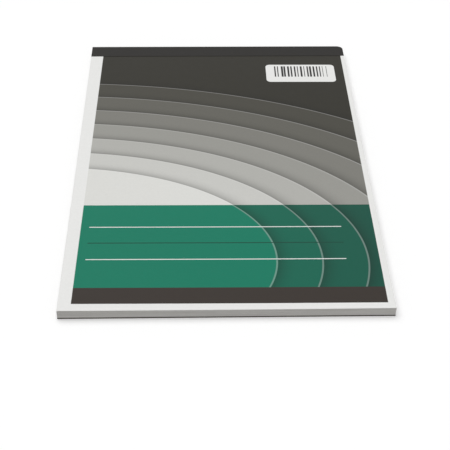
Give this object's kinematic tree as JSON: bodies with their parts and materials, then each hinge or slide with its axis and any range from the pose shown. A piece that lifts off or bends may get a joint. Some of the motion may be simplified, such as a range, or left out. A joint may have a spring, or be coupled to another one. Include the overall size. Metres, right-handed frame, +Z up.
{
  "type": "writing pad",
  "caption": "Tape-bound writing pad: ruled sheets glued at the head onto a chipboard back, under a printed card cover that lifts at the head.",
  "frame": {"origin": "middle of the pad's back, on the surface it lies on", "axes": "+X across the pad to the reader's right, +Y along the pad towards the bound head, +Z up out of the front cover"},
  "size_m": [0.152, 0.2284, 0.0049],
  "materials": {
    "cover_print": "printed card with a light coating",
    "sheet_paper": "uncoated ruled paper",
    "chipboard": "matt grey chipboard",
    "glue": "flexible padding glue",
    "tape": "fine-grained paper binding tape"
  },
  "bodies": {
    "pad": {"ruled_sheets": "sheet_paper", "backing_board": "chipboard", "head_glue": "glue", "binding_tape": "tape"},
    "cover": {"front_cover": "cover_print", "tape_front_flap": "tape"}
  },
  "joints": [
    {"name": "cover_hinge", "type": "hinge", "parent": "pad", "child": "cover", "pos_m": [0, 0.11426, 0.00455], "axis": [-1, 0, 0], "range_deg": [0, 180]}
  ]
}
